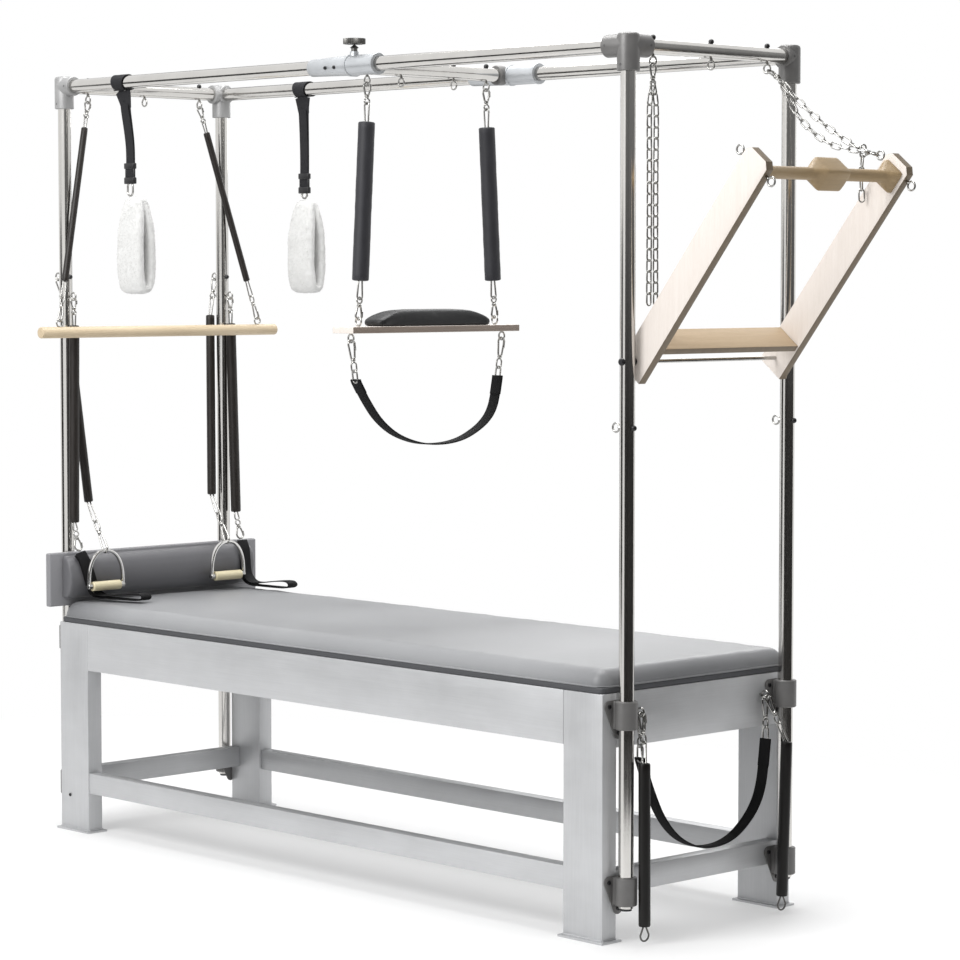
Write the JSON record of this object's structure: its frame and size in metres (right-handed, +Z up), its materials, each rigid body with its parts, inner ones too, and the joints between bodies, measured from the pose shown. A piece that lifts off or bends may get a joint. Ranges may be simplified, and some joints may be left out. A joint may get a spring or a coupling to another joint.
{
  "type": "pilates trapeze table",
  "caption": "Exercise table with a padded top and a tube frame carrying a leaning push bar, a sliding trapeze, a roll-down bar, spring handles and straps.",
  "frame": {"origin": "middle of the box in plan, at the level of the foot plates' undersides", "axes": "+X along the table towards the push bar end, +Y across it, +Z up"},
  "size_m": [2.792, 0.886, 2.266],
  "materials": {
    "aluminium": "satin anodised",
    "chrome": "polished",
    "cast_alloy": "smooth",
    "bracket_grey": "warm dark grey, satin",
    "grey_vinyl": "smooth vinyl, light grey",
    "board_vinyl": "smooth vinyl, dark grey",
    "head_vinyl": "smooth vinyl, mid grey",
    "black_vinyl": "smooth vinyl, black",
    "sleeve": "smooth dark sleeve over a spring",
    "webbing": "woven webbing, black",
    "strap_grey": "woven webbing, dark grey",
    "fleece": "white fleece",
    "wood": "pale birch, clear varnish"
  },
  "bodies": {
    "table": {"end_frame_left": "aluminium", "end_frame_right": "aluminium", "apron_near": "aluminium", "apron_far": "aluminium", "stretcher_near": "aluminium", "stretcher_far": "aluminium", "base_board": "board_vinyl", "mattress": "grey_vinyl", "head_board": "head_vinyl", "head_bolster": "head_vinyl", "post_near_left": "chrome", "post_near_right": "chrome", "post_far_left": "chrome", "post_far_right": "chrome", "upper_bracket_near_left": "bracket_grey", "upper_bracket_near_right": "bracket_grey", "upper_bracket_far_left": "bracket_grey", "upper_bracket_far_right": "bracket_grey", "corner_fitting_near_left": "bracket_grey", "corner_fitting_near_right": "bracket_grey", "corner_fitting_far_left": "bracket_grey", "corner_fitting_far_right": "bracket_grey", "rail_near": "chrome", "rail_far": "chrome", "cross_rail_left": "chrome", "cross_rail_right": "chrome", "push_bar_axle": "chrome", "far_chain": "chrome"},
    "crossbar": {"crossbar": "cast_alloy"},
    "clamp_knob": {"clamp_knob": "chrome"},
    "trapeze": {"trapeze_sling_near": "sleeve", "trapeze_sling_far": "sleeve"},
    "seat": {"seat_board": "wood", "seat_cushion": "black_vinyl"},
    "seat_strap": {"trapeze_strap": "webbing"},
    "push_bar": {"push_bar_arm_near": "wood", "push_bar_arm_far": "wood", "push_bar_shelf": "wood", "push_bar_handle": "wood"},
    "near_chain": {"near_chain": "chrome"},
    "roll_down": {"roll_down_bar": "wood", "roll_down_spring_near": "sleeve", "roll_down_spring_far": "sleeve"},
    "lower_strap": {"lower_strap": "webbing"},
    "handle_spring_near": {"handle_spring_near": "sleeve"},
    "handle_bow_near": {"handle_bow_near": "chrome"},
    "handle_grip_near": {"handle_grip_near": "wood"},
    "foot_strap_near": {"strap_spring_near": "sleeve", "strap_loop_near": "webbing"},
    "fleece_near": {"fleece_strap_near": "strap_grey", "fleece_loop_near": "fleece"},
    "lower_spring_near": {"lower_spring_near": "webbing"},
    "handle_spring_far": {"handle_spring_far": "sleeve"},
    "handle_bow_far": {"handle_bow_far": "chrome"},
    "handle_grip_far": {"handle_grip_far": "wood"},
    "foot_strap_far": {"strap_spring_far": "sleeve", "strap_loop_far": "webbing"},
    "fleece_far": {"fleece_strap_far": "strap_grey", "fleece_loop_far": "fleece"},
    "lower_spring_far": {"lower_spring_far": "webbing"}
  },
  "joints": [
    {"name": "crossbar_slide", "type": "slide", "parent": "table", "child": "crossbar", "axis": [1, 0, 0], "range_m": [-0.35, 0.35]},
    {"name": "clamp_knob_turn", "type": "hinge", "parent": "crossbar", "child": "clamp_knob", "pos_m": [-0.04737, -0.2965, 2.258], "axis": [0, 0, 1], "continuous": true},
    {"name": "trapeze_swing", "type": "hinge", "parent": "crossbar", "child": "trapeze", "pos_m": [-0.08287, 0, 2.1544], "axis": [0, -1, 0], "range_deg": [-30, 30]},
    {"name": "seat_tilt", "type": "hinge", "parent": "trapeze", "child": "seat", "pos_m": [-0.08287, 0, 1.5221], "axis": [0, -1, 0], "range_deg": [-20, 20]},
    {"name": "seat_strap_swing", "type": "hinge", "parent": "seat", "child": "seat_strap", "pos_m": [-0.08287, 0, 1.4659], "axis": [0, -1, 0], "range_deg": [-15, 15]},
    {"name": "push_bar_swing", "type": "hinge", "parent": "table", "child": "push_bar", "pos_m": [0.95513, 0, 1.43], "axis": [0, 1, 0], "range_deg": [-66, 0], "deforming": ["far_chain"]},
    {"name": "near_chain_swing", "type": "hinge", "parent": "table", "child": "near_chain", "pos_m": [0.95513, -0.21, 2.1544], "axis": [0, -1, 0], "range_deg": [-75, 45]},
    {"name": "roll_down_swing", "type": "hinge", "parent": "table", "child": "roll_down", "pos_m": [-1.34487, 0, 2.1544], "axis": [0, -1, 0], "range_deg": [0, 18]},
    {"name": "handle_spring_swing_near", "type": "hinge", "parent": "table", "child": "handle_spring_near", "pos_m": [-1.38287, -0.2965, 1.6287], "axis": [0.5, -0.866, 0], "range_deg": [0, 15]},
    {"name": "handle_bow_swing_near", "type": "hinge", "parent": "handle_spring_near", "child": "handle_bow_near", "pos_m": [-1.22787, -0.245, 0.828], "axis": [0, -1, 0], "range_deg": [0, 25]},
    {"name": "handle_grip_spin_near", "type": "hinge", "parent": "handle_bow_near", "child": "handle_grip_near", "pos_m": [-1.22787, -0.245, 0.723], "axis": [0, 1, 0], "continuous": true},
    {"name": "foot_strap_swing_near", "type": "hinge", "parent": "table", "child": "foot_strap_near", "pos_m": [-1.30687, -0.2965, 1.5707], "axis": [-1, 0, 0], "range_deg": [0, 25]},
    {"name": "fleece_swing_near", "type": "hinge", "parent": "table", "child": "fleece_near", "pos_m": [-1.02487, -0.2965, 2.195], "axis": [1, 0, 0], "range_deg": [-25, 25]},
    {"name": "lower_spring_swing_near", "type": "hinge", "parent": "table", "child": "lower_spring_near", "pos_m": [0.94773, -0.232, 0.565], "axis": [0, -1, 0], "range_deg": [0, 40]},
    {"name": "handle_spring_swing_far", "type": "hinge", "parent": "table", "child": "handle_spring_far", "pos_m": [-1.38287, 0.2965, 1.6287], "axis": [-0.5, -0.866, 0], "range_deg": [0, 15]},
    {"name": "handle_bow_swing_far", "type": "hinge", "parent": "handle_spring_far", "child": "handle_bow_far", "pos_m": [-1.22787, 0.217, 0.828], "axis": [0, -1, 0], "range_deg": [0, 25]},
    {"name": "handle_grip_spin_far", "type": "hinge", "parent": "handle_bow_far", "child": "handle_grip_far", "pos_m": [-1.22787, 0.217, 0.723], "axis": [0, 1, 0], "continuous": true},
    {"name": "foot_strap_swing_far", "type": "hinge", "parent": "table", "child": "foot_strap_far", "pos_m": [-1.30687, 0.2965, 1.5707], "axis": [1, 0, 0], "range_deg": [0, 25]},
    {"name": "fleece_swing_far", "type": "hinge", "parent": "table", "child": "fleece_far", "pos_m": [-1.02487, 0.2965, 2.195], "axis": [1, 0, 0], "range_deg": [-25, 25]},
    {"name": "lower_spring_swing_far", "type": "hinge", "parent": "table", "child": "lower_spring_far", "pos_m": [0.94773, 0.232, 0.565], "axis": [0, -1, 0], "range_deg": [0, 40]},
    {"name": "lower_strap_swing", "type": "hinge", "parent": "table", "child": "lower_strap", "pos_m": [0.94213, 0, 0.5577], "axis": [0, -1, 0], "range_deg": [0, 7]}
  ]
}
